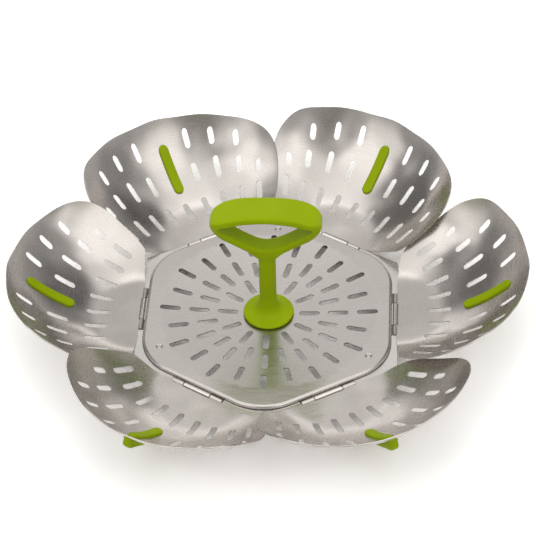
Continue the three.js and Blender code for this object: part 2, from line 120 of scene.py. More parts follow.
# middles of a leaf's slots: share of the length, share of the half width to each side, and how
# much of the slot's length is seen from above
leaf_slot_shares = [
    (0.3445, 0, 0.98), (0.34, 0.189, 0.98), (0.319, 0.368, 0.96), (0.2775, 0.548, 0.9),
    (0.224, 0.697, 0.875), (0.623, 0.238, 0.825), (0.593, 0.456, 0.81), (0.51, 0.648, 0.635),
    (0.402, 0.795, 0.49), (0.851, 0.27, 0.6), (0.786, 0.506, 0.515), (0.67, 0.713, 0.475),
]
slot_skew = 0.026                # how far the rows run out towards the lapped side
even_ring_shares = [0.373, 0.634, 0.901]
odd_ring_shares = [0.565, 0.834]


# Curves and shells

def spline(points, count):
    """A smooth curve through points, as count steps."""
    points = np.array(points, float)
    last = len(points) - 1
    out = []
    for k in range(count + 1):
        along = last * k / count
        i = min(int(along), last - 1)
        w = along - i
        before, start, end = points[max(i - 1, 0)], points[i], points[i + 1]
        after = points[min(i + 2, last)]
        leave, arrive = (end - before) / 2, (after - start) / 2
        cubic = (2 * start - 2 * end + leave + arrive) * w**3
        square = (-3 * start + 3 * end - 2 * leave - arrive) * w**2
        out.append(cubic + square + leave * w + start)
    return np.array(out)


def rubbed(points, passes):
    """The points with small kinks rubbed out and the two ends kept."""
    soft = points.copy()
    for _ in range(passes):
        soft[1:-1] += 0.5 * ((soft[:-2] + soft[2:]) / 2 - soft[1:-1])
    return soft


def evenly(points, count):
    """The same plan curve in count even steps."""
    steps = np.linalg.norm(np.diff(points, axis=0), axis=1)
    along = np.concatenate([[0], np.cumsum(steps)])
    places = np.linspace(0, along[-1], count + 1)
    return np.column_stack([np.interp(places, along, points[:, i]) for i in range(2)])


def smooth_curve(points, count, fine_steps=400, passes=250):
    """A curve near the points, evenly divided, without kinks. The second rub restores the broad shape."""
    fine = evenly(spline(points, 12 * len(points)), fine_steps)
    soft = rubbed(fine, passes)
    return evenly(soft + rubbed(fine - soft, passes), count)


def about_axis(turn):
    """The matrix of a turn about the basket's axis."""
    c, s = math.cos(turn), math.sin(turn)
    return np.array(((c, -s, 0), (s, c, 0), (0, 0, 1)))


def slot_outline(x, y, length, width, turn, steps=8, along_steps=4):
    """A slot with round ends, its length along the given direction."""
    reach = length / 2 - width / 2
    points = []
    for side in (1, -1):
        for i in range(steps + 1):
            a = -math.pi / 2 + math.pi * i / steps
            points.append((side * (reach + width / 2 * math.cos(a)), side * width / 2 * math.sin(a)))
        for i in range(1, along_steps):
            points.append((side * reach * (1 - 2 * i / along_steps), side * width / 2))
    c, s = math.cos(turn), math.sin(turn)
    return np.array([(x + u * c - v * s, y + u * s + v * c) for u, v in points])


def corner_normals(points, faces, angle):
    """A normal for each corner of each face, smooth across edges flatter than angle (degrees)."""
    points = np.asarray(points, float)
    flat = []
    around = {}
    for f, face in enumerate(faces):
        p = points[list(face)]
        n = np.cross(p, np.roll(p, -1, axis=0)).sum(axis=0)
        flat.append(n)
        for v in face:
            around.setdefault(v, []).append(f)
    flat = np.array(flat)
    unit = flat / np.maximum(np.linalg.norm(flat, axis=1, keepdims=True), 1e-12)
    limit = math.cos(math.radians(angle))
    out = []
    for f, face in enumerate(faces):
        for v in face:
            keep = [g for g in around[v] if unit[g] @ unit[f] > limit]
            n = flat[keep].sum(axis=0)
            out.append(n / max(np.linalg.norm(n), 1e-12))
    return np.array(out)


class Shell:
    """Points, faces and corner normals of one piece, in millimetres from the plate's top."""

    def __init__(self):
        self.points = []
        self.faces = []
        self.normals = []

    def add(self, points, faces, normals=None, angle=35):
        """Adds faces. Without normals, edges flatter than angle (degrees) are smooth."""
        start = sum(len(p) for p in self.points)
        points = np.asarray(points, float)
        if normals is None:
            normals = corner_normals(points, faces, angle)
        self.points.append(points)
        self.faces += [tuple(start + v for v in face) for face in faces]
        self.normals.append(np.asarray(normals, float))
        return self

    def mesh(self, name, turn=0.0):
        """The mesh at its place in the basket, turned about the basket's axis."""
        spin = about_axis(turn)
        points = np.vstack(self.points) @ spin.T * MM + (0, 0, plate_top)
        made = bpy.data.meshes.new(name)
        made.from_pydata(points.tolist(), [], self.faces)
        made.shade_smooth()
        made.normals_split_custom_set((np.vstack(self.normals) @ spin.T).tolist())
        return made


def place(name, mesh, body, finish, node):
    """Puts a mesh in the scene to stand for a CAD node."""
    made = bpy.data.objects.new(name, mesh)
    bpy.context.scene.collection.objects.link(made)
    mesh.materials.append(finish)
    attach(made, body)
    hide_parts(node)


def loops(rings, closed=False):
    """Faces that join rings of the same number of points, and their points in one list."""
    count = len(rings[0])
    faces = []
    for k in range(len(rings) if closed else len(rings) - 1):
        a, b = k * count, (k + 1) % len(rings) * count
        for i in range(count):
            j = (i + 1) % count
            faces.append((a + i, a + j, b + j, b + i))
    return np.vstack(rings), faces


def turned(profile, steps):
    """A turned shell about Z from (radius, height) pairs that run up the outside."""
    profile = [(max(r, 1e-4), z) for r, z in profile]
    turns = [2 * math.pi * k / steps for k in range(steps)]
    rings = [np.array([(r * math.cos(a), r * math.sin(a), z) for a in turns]) for r, z in profile]
    return loops(rings)


def barrel(radius, bore, start, end, rounding, steps=28):
    """A tube along Y at the hinge, its rims rounded. A bore of 0 makes it solid."""
    r = rounding
    cut = 0.3 * r                   # to about the middle of a round corner
    outside = [(radius - r, start), (radius - cut, start + cut), (radius, start + r)]
    outside += [(radius, end - r), (radius - cut, end - cut), (radius - r, end)]
    if bore:
        profile = [(bore, start)] + outside + [(bore, end), (bore, start)]
    else:
        profile = [(0, start)] + outside + [(0, end)]
    points, faces = turned(profile, steps)
    x, y, along = points.T
    placed = np.column_stack((hinge_radius + y, along, hinge_level + x))
    return placed, faces


def grid(low, high, spacing):
    """Plan points in staggered rows between two corners."""
    row_share = 0.866           # from row to row, so that neighbours are evenly apart
    points = []
    for row in range(int((high[1] - low[1]) / (spacing * row_share)) + 1):
        y = low[1] + row * spacing * row_share
        for x in np.arange(low[0] + spacing * (row % 2) / 2, high[0], spacing):
            points.append((x, y))
    return points


def punched(outline, holes, extra, height, thickness, spacing, edge_room=0.9):
    """A thin sheet over a plan outline with holes. height(x, y) gives its upper face."""
    inside = np.array(grid(outline.min(axis=0), outline.max(axis=0), spacing) + list(extra))
    rings = [outline] + list(holes)
    edge = np.vstack(rings)
    gap = np.min(np.linalg.norm(inside[:, None, :] - edge[None, :, :], axis=2), axis=1)
    points = np.vstack([edge, inside[gap > edge_room]])
    edges = []
    start = 0
    for ring in rings:
        count = len(ring)
        edges += [(start + i, start + (i + 1) % count) for i in range(count)]
        start += count
    plan, _, faces, _, _, _ = delaunay_2d_cdt([Vector(p) for p in points], edges, [], 1, 1e-6)
    plan = np.array([tuple(p) for p in plan])
    kept = []
    for face in faces:
        middle = plan[list(face)].mean(axis=0)
        if contains(outline, middle) and not any(contains(hole, middle) for hole in holes):
            kept.append(tuple(face))
    used = sorted({v for face in kept for v in face})
    place_of = {v: i for i, v in enumerate(used)}
    faces = [tuple(place_of[v] for v in face) for face in kept]
    return sheet_shell(plan[used], faces, height, thickness)


def contains(ring, point):
    """Whether a plan point lies inside a closed ring."""
    x, y = ring[:, 0], ring[:, 1]
    if not (x.min() < point[0] < x.max() and y.min() < point[1] < y.max()):
        return False
    nx, ny = np.roll(x, -1), np.roll(y, -1)
    crosses = (y > point[1]) != (ny > point[1])
    rise = np.where(ny == y, 1e-9, ny - y)
    return bool(np.count_nonzero(crosses & (point[0] < (nx - x) * (point[1] - y) / rise + x)) % 2)


def face_normals(height, x, y, step=0.05):
    """Unit normals of the face height(x, y)."""
    rise = (height(x + step, y) - height(x - step, y)) / (2 * step)
    tilt = (height(x, y + step) - height(x, y - step)) / (2 * step)
    up = np.stack((-rise, -tilt, np.ones_like(rise)), axis=-1)
    return up / np.linalg.norm(up, axis=-1, keepdims=True)


def rim_normals(upper, up, border):
    """A direction out of the sheet at each point of its border."""
    out = np.zeros_like(upper)
    for a, b in border:
        side = np.cross(upper[b] - upper[a], up[a])
        side /= max(np.linalg.norm(side), 1e-9)
        out[a] += side
        out[b] += side
    return out / np.maximum(np.linalg.norm(out, axis=1, keepdims=True), 1e-9)


def sheet_shell(plan, faces, height, thickness):
    """Lifts plan triangles to a sheet with an upper face, a lower face and soft-looking edges."""
    x, y = plan[:, 0], plan[:, 1]
    up = face_normals(height, x, y)
    upper = np.column_stack((x, y, height(x, y)))
    facing_up = []
    for a, b, c in faces:
        u, v = plan[b] - plan[a], plan[c] - plan[a]
        facing_up.append((a, b, c) if u[0] * v[1] - u[1] * v[0] > 0 else (a, c, b))
    directed = dict.fromkeys(edge for a, b, c in facing_up for edge in ((a, b), (b, c), (c, a)))
    border = [(a, b) for a, b in directed if (b, a) not in directed]
    out = rim_normals(upper, up, border)
    count = len(plan)
    all_faces, normals = [], []
    for a, b, c in facing_up:
        all_faces.append((a, b, c))
        normals += [up[a], up[b], up[c]]
    for a, b, c in facing_up:
        all_faces.append((count + a, count + c, count + b))
        normals += [-up[a], -up[c], -up[b]]
    for a, b in border:
        all_faces.append((count + a, count + b, b, a))
        normals += [out[a] - 0.5 * up[a], out[b] - 0.5 * up[b], out[b] + 0.5 * up[b], out[a] + 0.5 * up[a]]
    normals = np.array(normals)
    normals /= np.linalg.norm(normals, axis=1, keepdims=True)
    return np.vstack([upper, upper - thickness * up]), all_faces, normals


# Leaves

def bowl_height(out, across):
    """Inner face of an open leaf: a sphere that runs into a flat land along the hinge."""
    under = np.maximum(bowl_radius**2 - (out - bowl_out) ** 2 - (across - bowl_side) ** 2, 1)
    bowl = bowl_up - np.sqrt(under)
    land = land_level + land_slope * (out - hinge_radius)
    return 0.5 * (bowl + land + np.sqrt((bowl - land) ** 2 + land_blend**2))


def bowl_point(out, across, lift):
    """A place above (or below) the leaf's inner face, along its normal."""
    return np.array((out, across, bowl_height(out, across))) + lift * face_normals(bowl_height, out, across)


def leaf_outline():
    """Plan of a leaf: its rim, then its hinge side with a notch for the frame's knuckle."""
    spot = lambda out, side: (hinge_radius + out * leaf_length, leaf_shift + side * leaf_half)
    lapping = [spot(out, -side) for out, side, _ in rim_shares]
    lapped = [spot(out, side) for out, _, side in rim_shares]
    rim = smooth_curve(lapping + lapped[::-1], 170)
    edge = lambda out, side: (hinge_radius + out * leaf_length, side * leaf_half)
    knuckle = [(hinge_edge, knuckle_end), (hinge_radius, knuckle_end), (hinge_radius, knuckle_start)]
    knuckle += [(leaf_notch_out - leaf_notch_cut, leaf_notch_side)]
    knuckle += [(leaf_notch_out, leaf_notch_side - leaf_notch_cut)]
    hinge_side = [edge(*p) for p in edge_lapped_shares]
    hinge_side += knuckle + [(out, -side) for out, side in knuckle[::-1]]
    hinge_side += [edge(*p) for p in edge_lapping_shares]
    return np.vstack([rim, np.array(hinge_side)])


def leaf_shell():
    """A leaf with its slots, which fan out from the basket's axis, and its two knuckles."""
    holes = []
    for out_share, side_share, length_share in leaf_slot_shares:
        length = length_share * leaf_slot_length
        for side in sorted({side_share * leaf_half, -side_share * leaf_half}):
            out = hinge_radius + out_share * leaf_length + slot_skew * side
            across = leaf_shift + side
            holes.append(slot_outline(out, across, length, slot_width, math.atan2(across, out)))
    made = Shell()
    made.add(*punched(leaf_outline(), holes, [], bowl_height, sheet, spacing=2.6))
    for start, end in ((knuckle_start, knuckle_end), (-knuckle_end, -knuckle_start)):
        made.add(*barrel(knuckle_radius, knuckle_bore, start, end, knuckle_rounding))
    return made


# Feet: a strip on the inner face and a fin outside
strip_middle = hinge_radius + leaf_length * 0.701
strip_length = 20.4
strip_half = 2.7
strip_proud = 1.5
# edge of the strip: how far in from its outline, and how high, up to its full height
strip_edge = [(0, -0.2), (0, 0.55), (0.1, 0.85), (0.32, 1.08), (0.65, 1.2), (1.3, 1.25), (2.1, 1.27)]
fin_half = 2.2
fin_depth = 8.7
fin_bevel = 1.25
fin_sink = 0.25                 # how far it goes into the leaf's sheet
# edge of the fin: share of the leaf's length, share of its depth below the leaf
fin_edge_shares = [
    (0.91, 0.1), (0.920, 0.448), (0.934, 0.8), (0.934, 0.92), (0.917, 0.975), (0.884, 0.86),
    (0.841, 0.701), (0.795, 0.609), (0.744, 0.529), (0.689, 0.471), (0.632, 0.379), (0.579, 0.276),
    (0.535, 0.149), (0.511, 0.046),
]


def add_strip(made):
    """The rubber strip: a long pad with round ends that follows the bowl."""
    steps = 10
    full = strip_edge[-1][1]
    rings = []
    for inset, lift in strip_edge:
        length = strip_length + strip_half - 2 * inset
        plan = slot_outline(strip_middle, foot_line, length, 2 * (strip_half - inset), 0, steps, steps)
        rings.append(np.array([bowl_point(u, v, lift * strip_proud / full) for u, v in plan]))
    points, faces = loops(rings)
    count = len(rings[0])
    first = (len(rings) - 1) * count
    tip = steps // 2
    for i in range(count // 2 - 1):
        right = (tip + i, tip + i + 1)
        left = (tip - i - 2, tip - i - 1)
        faces.append(tuple(first + k % count for k in right + left))
    made.add(points, faces, angle=60)


def bevelled_slab(outline, low, high, bevel):
    """Points and faces of an upright outline (x, z) carried from one side to the other, edges rounded."""
    bm = bmesh.new()
    face = bm.faces.new([bm.verts.new((x, low, z)) for x, z in outline])
    grown = bmesh.ops.extrude_face_region(bm, geom=[face])
    moved = [g for g in grown["geom"] if isinstance(g, bmesh.types.BMVert)]
    bmesh.ops.translate(bm, verts=moved, vec=(0, high - low, 0))
    bmesh.ops.recalc_face_normals(bm, faces=bm.faces)
    sides = [e for e in bm.edges if all(abs(v.co.y - e.verts[0].co.y) < 1e-6 for v in e.verts)]
    bmesh.ops.bevel(bm, geom=sides, offset=bevel, segments=4, profile=0.5, affect="EDGES")
    bm.verts.ensure_lookup_table()
    bmesh.ops.triangulate(bm, faces=[f for f in bm.faces if len(f.verts) > 4])
    points = [tuple(v.co) for v in bm.verts]
    index = {v: i for i, v in enumerate(bm.verts)}
    faces = [tuple(index[v] for v in f.verts) for f in bm.faces]
    bm.free()
    return points, faces


def add_fin(made):
    """The fin outside the leaf, in the plane of the strip."""
    spots = []
    for out_share, depth_share in fin_edge_shares:
        out = hinge_radius + out_share * leaf_length
        spots.append((out, bowl_point(out, foot_line, -sheet)[2] - depth_share * fin_depth))
    outer = spline(spots, 56)
    under = []
    for out in np.linspace(outer[-1][0], outer[0][0], 24):
        p = bowl_point(out, foot_line, -sheet + fin_sink)
        under.append((p[0], p[2]))
    outline = np.vstack([outer, np.array(under)])
    points, faces = bevelled_slab(outline, foot_line - fin_half, foot_line + fin_half, fin_bevel)
    made.add(points, faces, angle=50)


def foot_shell():
    """A foot, moulded through the leaf."""
    made = Shell()
    add_strip(made)
    add_fin(made)
    return made


# Plate
boss_ring = 62.0
boss_angles = (-151.7, -31.7, 88.3)
ring_radius = 1.2
ring_width = 0.26
ring_depth = 0.4
ring_steps = (0.45, 0.85, 1.03, 1.2, 1.37, 1.55, 1.95)  # radii with points, to carry the ring
corner_steps = 16
roll_steps = 6
skirt_lip = 0.2                 # height of the skirt's rounded lower edge
skirt_lip_inset = 0.15
slot_rays = 12


def round_hexagon(flat, corner):
    """Plan of a hexagon with round corners, from its half width over the flats."""
    reach = (flat - corner) / math.cos(sector / 2)
    points = []
    for i in range(leaf_count):
        middle = sector / 2 + i * sector
        for j in range(corner_steps + 1):
            turn = middle - sector / 2 + sector * j / corner_steps
            points.append((reach * math.cos(middle) + corner * math.cos(turn),
                           reach * math.sin(middle) + corner * math.sin(turn)))
        ahead = middle + sector / 2
        following = middle + sector
        last = np.array(points[-1])
        first = np.array((reach * math.cos(following) + corner * math.cos(ahead),
                          reach * math.sin(following) + corner * math.sin(ahead)))
        points += [tuple(last + (first - last) * k / 10) for k in range(1, 10)]
    return np.array(points)


def circle(radius, steps):
    """Plan points round the basket's axis."""
    turns = np.linspace(0, 2 * math.pi, steps + 1)[:-1]
    return radius * np.column_stack((np.cos(turns), np.sin(turns)))


def level_ring(plan, level):
    """Plan points, all at one height."""
    return np.column_stack((plan, np.full(len(plan), level)))


def boss_places():
    """Plan points of the bosses."""
    turns = [math.radians(angle) for angle in boss_angles]
    return [np.array((math.cos(turn), math.sin(turn))) * boss_ring for turn in turns]


def dish(x, y):
    """Upper face of the plate: a shallow dish, with a ring struck in it over each boss."""
    radius = np.hypot(x, y)
    level = -dish_depth * np.maximum(0, 1 - (radius / dish_radius) ** 2)
    for boss_x, boss_y in boss_places():
        away = np.hypot(x - boss_x, y - boss_y)
        level = level - ring_depth * np.exp(-(((away - ring_radius) / ring_width) ** 2))
    return level


def plate_holes():
    """Rings of slots along the plate's radii, the odd rings half a step round, and the screw's hole."""
    holes = []
    for k in range(slot_rays):
        even, odd = 2 * math.pi * k / slot_rays, 2 * math.pi * (k + 0.5) / slot_rays
        rows = [(share, even) for share in even_ring_shares] + [(share, odd) for share in odd_ring_shares]
        for share, turn in rows:
            x, y = share * dish_radius * math.cos(turn), share * dish_radius * math.sin(turn)
            holes.append(slot_outline(x, y, plate_slot_length, slot_width, turn, 8, 3))
    return holes + [circle(screw_hole, 24)]


def skirt_profile():
    """Section of the rolled edge and skirt: how far in from the plate's edge, and the height."""
    profile = []
    for k in range(roll_steps):
        a = math.pi / 2 * k / roll_steps
        profile.append((plate_roll * (1 - math.sin(a)), plate_roll * (math.cos(a) - 1)))
    lip, inset = skirt_bottom + skirt_lip, skirt_lip_inset
    profile += [(0, lip), (inset, skirt_bottom), (plate_sheet - inset, skirt_bottom), (plate_sheet, lip)]
    return profile + [(plate_sheet, -plate_sheet - 0.3), (plate_roll, -plate_sheet)]


def plate_mesh():
    """The slotted dish, then its edge rolled down to a short skirt."""
    ring_points = []
    for spot in boss_places():
        for radius in ring_steps:
            ring_points += list(spot + circle(radius, 20))
    made = Shell()
    inner = round_hexagon(plate_flat - plate_roll, plate_corner - plate_roll)
    holes = plate_holes()
    made.add(*punched(inner, holes, ring_points, dish, plate_sheet, spacing=2.8, edge_room=0.18))
    rings = []
    for inset, level in skirt_profile():
        rings.append(level_ring(round_hexagon(plate_flat - inset, plate_corner - inset), level))
    points, faces = loops(rings)
    made.add(points, [face[::-1] for face in faces], angle=50)
    return made.mesh("plate")


# Frame under the plate
frame_wing = hinge_radius + 0.9     # beside the knuckles it reaches out to the leaves
frame_wing_side = 21.0
frame_spread = hinge_radius + 1.4   # and a little further at the corners
frame_spread_side = 29.0
frame_corner_side = 38.2
frame_cut = 0.5
frame_hole = 57.6
frame_thick = 0.9
frame_top = -2.1
frame_notch_in = hinge_radius - 2.4
frame_notch_side = knuckle_end + 0.4
collar_bottom = -stand_height
collar_top = frame_top - 0.2
collar_thick = 0.9
collar_flange = 4.0
# section of the collar's foot: how far out from the frame's hole, and how high above the surface
collar_foot = [
    (0, 0.5), (0.15, 0.15), (0.5, 0), (collar_flange - 0.3, 0), (collar_flange, 0.3),
    (collar_flange, 0.6), (collar_flange - 0.3, collar_thick), (1.7, collar_thick), (1.1, 1.15),
    (collar_thick, 1.7),
]


def frame_outline():
    """Plan of the frame: a hexagon with a tongue between two notches at each hinge."""
    deep, far = frame_notch_in, frame_notch_side
    side = [(frame_spread, frame_corner_side), (frame_wing + frame_cut, frame_spread_side)]
    side += [(frame_wing, frame_wing_side), (frame_wing, far + frame_cut)]
    side += [(frame_wing - frame_cut, far), (deep, far)]
    side += [(deep, frame_knuckle_half), (hinge_radius, frame_knuckle_half)]
    side = np.array([(u, -v) for u, v in side] + side[::-1])
    return np.vstack([side @ about_axis(i * sector)[:2, :2].T for i in range(leaf_count)])


def frame_mesh():
    """The flat frame, the collar under it that stands on the surface, and six knuckles."""
    made = Shell()
    steps = 144
    flat = lambda x, y: np.full(np.shape(x), frame_top)
    hole = circle(frame_hole, steps)
    made.add(*punched(frame_outline(), [hole], [], flat, frame_thick, spacing=4.0))
    wall = [(frame_hole + out, collar_bottom + up) for out, up in collar_foot]
    wall = [(frame_hole, collar_top)] + wall + [(frame_hole + collar_thick, collar_top)]
    points, faces = loops([level_ring(circle(radius, steps), level) for radius, level in wall])
    made.add(points, faces, angle=50)
    half = frame_knuckle_half
    points, faces = barrel(knuckle_radius, knuckle_bore, -half, half, knuckle_rounding)
    for i in range(leaf_count):
        made.add(points @ about_axis(i * sector).T, faces)
    return made.mesh("frame")


# Handle
disc_thick = 1.8
# edge of the disc: how far in from its radius, and how high above its underside
disc_edge = [(0.6, 0), (0.18, 0.18), (0, 0.6), (0, disc_thick - 0.7), (0.25, disc_thick - 0.2)]
flare_start = 0.9
flare_height = 12.6
stem_end_share = 0.6            # how far up the loop's lower band the stem ends
flare_shares = [(0.477, 0.23), (0.205, 0.389), (0.068, 0.651), (0, 1)]
loop_foot = 38.2
loop_middle_share = 0.66
loop_rise = handle_top - loop_foot
loop_deep = 8.8
top_band = 4.2
side_band = 5.1
lower_band = 7.6
loop_outer_shares = [
    (0, 0), (0.148, 0.024), (0.304, 0.159), (0.587, 0.329), (0.799, 0.451), (0.94, 0.579),
    (1, 0.695), (0.975, 0.768), (0.883, 0.835), (0.615, 0.927), (0.318, 0.985), (0, 1),
]
opening_shares = [
    (0, 0), (0.328, 0.114), (0.655, 0.333), (0.888, 0.543), (1, 0.695), (0.948, 0.8),
    (0.621, 0.924), (0.302, 0.981), (0, 1),
]
loop_straight_share = 0.66
loop_end_share = 0.5
loop_depth_shares = [
    (-0.067, 0.489), (0.177, 0.568), (0.421, 0.614), (0.573, 0.75), (0.71, 0.955), (0.787, 1),
    (0.939, 1), (0.982, 0.932), (1.03, 0.773),
]
loop_rounding = 1.1
# corners of the loop's section: 1 at its outer edge and 0 at its inner one, the side, the direction
# in degrees where the corner starts, and the places across the flat face that follows it
loop_corners = [
    (1, 1, 0, (0.7, 0.5, 0.3)), (0, 1, 90, ()), (0, -1, 180, (0.3, 0.5, 0.7)), (1, -1, 270, ()),
]
skin_voxel = 0.45


def closed_outline(shares, half, foot, rise):
    """A smooth closed outline, even on both sides, from the shares on its right side."""
    steps, over = 40, 3             # the curve runs on past its start, so that it closes smoothly
    right = [(x * half, foot + z * rise) for x, z in shares]
    left = [(-x, z) for x, z in right[-2:0:-1]]
    ring = right + left
    curve = spline(ring[-2:] + ring + ring[:over], steps * (len(ring) + 4))
    return curve[2 * steps:-over * steps]


def by_direction(outline, middle, turns):
    """Points of a closed outline in the given directions from its middle."""
    away = outline - middle
    angle = np.arctan2(away[:, 1], away[:, 0])
    order = np.argsort(angle)
    reach = np.hypot(away[:, 0], away[:, 1])
    radius = np.interp(turns, angle[order], reach[order], period=2 * math.pi)
    return middle + np.column_stack((radius * np.cos(turns), radius * np.sin(turns)))


def loop_half_depth(x, z):
    """Half the loop's depth at a place in its outline. Its two ends are round in plan."""
    levels = [loop_foot + up * loop_rise for up, _ in loop_depth_shares]
    half = np.interp(z, levels, [half * loop_deep for _, half in loop_depth_shares])
    beyond = np.clip((abs(x) / loop_half - loop_straight_share) / (1 - loop_straight_share), 0, 1)
    return half * math.sqrt(1 - (1 - loop_end_share ** 2) * beyond ** 2)


def loop_section(outer, inner):
    """A section through the loop, between a point of its outer and one of its inner outline."""
    band = np.linalg.norm(outer - inner)
    points = []
    for at_outer, side, first, between in loop_corners:
        for k in range(5):
            turn = math.radians(first + 90 * k / 4)
            across = at_outer * band + loop_rounding * (math.cos(turn) - (1 if at_outer else -1))
            spot = inner + (outer - inner) * across / band
            depth = side * loop_half_depth(*spot) + loop_rounding * (math.sin(turn) - side)
            points.append((spot[0], depth, spot[1]))
        for share in between:
            spot = inner + (outer - inner) * share
            points.append((spot[0], side * loop_half_depth(*spot), spot[1]))
    return np.array(points)


def add_stem(made):
    """The disc, flared into the stem, which ends inside the loop's foot."""
    step = disc_radius - stem_radius
    flare = [(stem_radius + r * step, handle_base + z * flare_height) for r, z in flare_shares]
    flare = spline([(disc_radius - flare_start, handle_base + disc_thick)] + flare, 24)
    edge = [(disc_radius - inset, handle_base + up) for inset, up in disc_edge]
    top = loop_foot + stem_end_share * lower_band
    profile = [(0, handle_base)] + edge + [tuple(p) for p in flare] + [(stem_radius, top), (0, top)]
    made.add(*turned(profile, 64))


def add_loop(made):
    """The finger loop, in sections round the middle of its opening."""
    outer = closed_outline(loop_outer_shares, loop_half, loop_foot, loop_rise)
    opening_rise = loop_rise - lower_band - top_band
    inner = closed_outline(opening_shares, loop_half - side_band, loop_foot + lower_band, opening_rise)
    middle = np.array((0, loop_foot + loop_middle_share * loop_rise))
    turns = np.linspace(-math.pi, math.pi, 161)[:-1]
    outside, inside = by_direction(outer, middle, turns), by_direction(inner, middle, turns)
    rings = [loop_section(a, b) for a, b in zip(outside, inside)]
    points, faces = loops(rings, closed=True)
    made.add(points, faces)


def skinned(mesh, name):
    """One soft skin over the shells of a mesh, so that they join like a moulding."""
    rough = bpy.data.objects.new(mesh.name, mesh)
    bpy.context.scene.collection.objects.link(rough)
    skin = rough.modifiers.new("skin", "REMESH")
    skin.mode = "VOXEL"
    skin.voxel_size = skin_voxel * MM
    skin.use_smooth_shade = True
    soften = rough.modifiers.new("soften", "SMOOTH")
    soften.factor = 0.5
    soften.iterations = 6
    graph = bpy.context.evaluated_depsgraph_get()
    made = bpy.data.meshes.new_from_object(rough.evaluated_get(graph))
    made.name = name
    bpy.data.objects.remove(rough)
    made.shade_smooth()
    return made


def handle_mesh():
    """The moulding: a flared disc and stem joined softly to a finger loop."""
    made = Shell()
    add_stem(made)
    add_loop(made)
    return skinned(made.mesh("rough_handle"), "handle_moulding")


# Screw and washer under the plate
washer_rounding = 0.15
screw_radius = 2.0
screw_tip_radius = 1.5
screw_edge = 0.7                # height of the head's straight edge
screw_gap = 0.3
screw_tip = 0.5


def washer_mesh():
    low, high, r = washer_low, washer_high, washer_rounding
    profile = [(screw_hole, low), (washer_radius - r, low), (washer_radius, low + r)]
    profile += [(washer_radius, high - r), (washer_radius - r, high), (screw_hole, high), (screw_hole, low)]
    made = Shell()
    return made.add(*turned(profile, 56)).mesh("washer")


def screw_mesh():
    """A screw with a domed head under the washer, its shank up into the handle."""
    head_top = washer_low - screw_gap
    edge = head_top - screw_edge
    profile = []
    for a in np.linspace(0, math.pi / 2, 9):
        profile.append((screw_head_radius * math.sin(a), edge - (edge - screw_bottom) * math.cos(a)))
    profile += [(screw_head_radius, head_top), (screw_radius, head_top)]
    profile += [(screw_radius, screw_top - screw_tip), (screw_tip_radius, screw_top), (0, screw_top)]
    made = Shell()
    return made.add(*turned(profile, 40)).mesh("screw")


def pin_shell():
    made = Shell()
    return made.add(*barrel(pin_radius, 0, -pin_half, pin_half, pin_rounding))


# Finishes
brushed_arc = 0.09              # metres, to turn an angle into a length along the brushing
brushed_along = 70.0            # fineness along the brushing
scratch_depth = 0.02
pebble_depth = 0.05
ramp_span = (0.35, 0.65)        # where most values of a noise lie
patch_scale = 38.0
wave_scale = 34.0
cloud_scale = 55.0


def fill(tree, node, sockets):
    """Links sockets of a node, by name or place, to others, or sets them to plain values."""
    for key, source in sockets.items():
        if isinstance(source, bpy.types.NodeSocket):
            tree.links.new(source, node.inputs[key])
        else:
            node.inputs[key].default_value = source
    return node


def add_node(tree, kind, sockets=None):
    return fill(tree, tree.nodes.new("ShaderNode" + kind), sockets or {})


def add_group(tree, group, sockets):
    node = tree.nodes.new("ShaderNodeGroup")
    node.node_tree = group
    return fill(tree, node, sockets)


def new_group(name, inputs, outputs):
    """A node group with named number sockets, with the sockets it is given and its output node."""
    group = bpy.data.node_groups.new(name, "ShaderNodeTree")
    for way, names in (("INPUT", inputs), ("OUTPUT", outputs)):
        for socket in names:
            group.interface.new_socket(socket, in_out=way, socket_type="NodeSocketFloat")
    return group, group.nodes.new("NodeGroupInput").outputs, group.nodes.new("NodeGroupOutput")


def new_material(name):
    """A material with a shader and an output."""
    material = bpy.data.materials.new(name)
    material.use_nodes = True
    tree = material.node_tree
    tree.nodes.clear()
    shader = add_node(tree, "BsdfPrincipled")
    add_node(tree, "OutputMaterial", {0: shader.outputs[0]})
    return material, tree, shader


def math_node(tree, kind, *sources):
    node = add_node(tree, "Math", dict(enumerate(sources)))
    node.operation = kind
    return node.outputs[0]


def mix_node(tree, factor, a, b):
    return add_node(tree, "Mix", {0: factor, 2: a, 3: b}).outputs[0]


def noise(tree, vector, scale, detail=2.0, roughness=0.5):
    sockets = {"Vector": vector, "Scale": scale, "Detail": detail, "Roughness": roughness}
    return add_node(tree, "TexNoise", sockets).outputs["Fac"]


def bump(tree, height, strength, distance, under=None):
    """A bump of the given distance in millimetres, over another one if that is given."""
    sockets = {"Height": height, "Strength": strength, "Distance": distance * MM}
    if under is not None:
        sockets["Normal"] = under
    return add_node(tree, "Bump", sockets).outputs[0]


def ramp(tree, source, low, high):
    """Maps a mask to a range of grey values or colours."""
    node = add_node(tree, "ValToRGB", {0: source})
    for element, position, value in zip(node.color_ramp.elements, ramp_span, (low, high)):
        element.position = position
        element.color = (*value, 1) if isinstance(value, tuple) else (value, value, value, 1)
    return node.outputs[0]


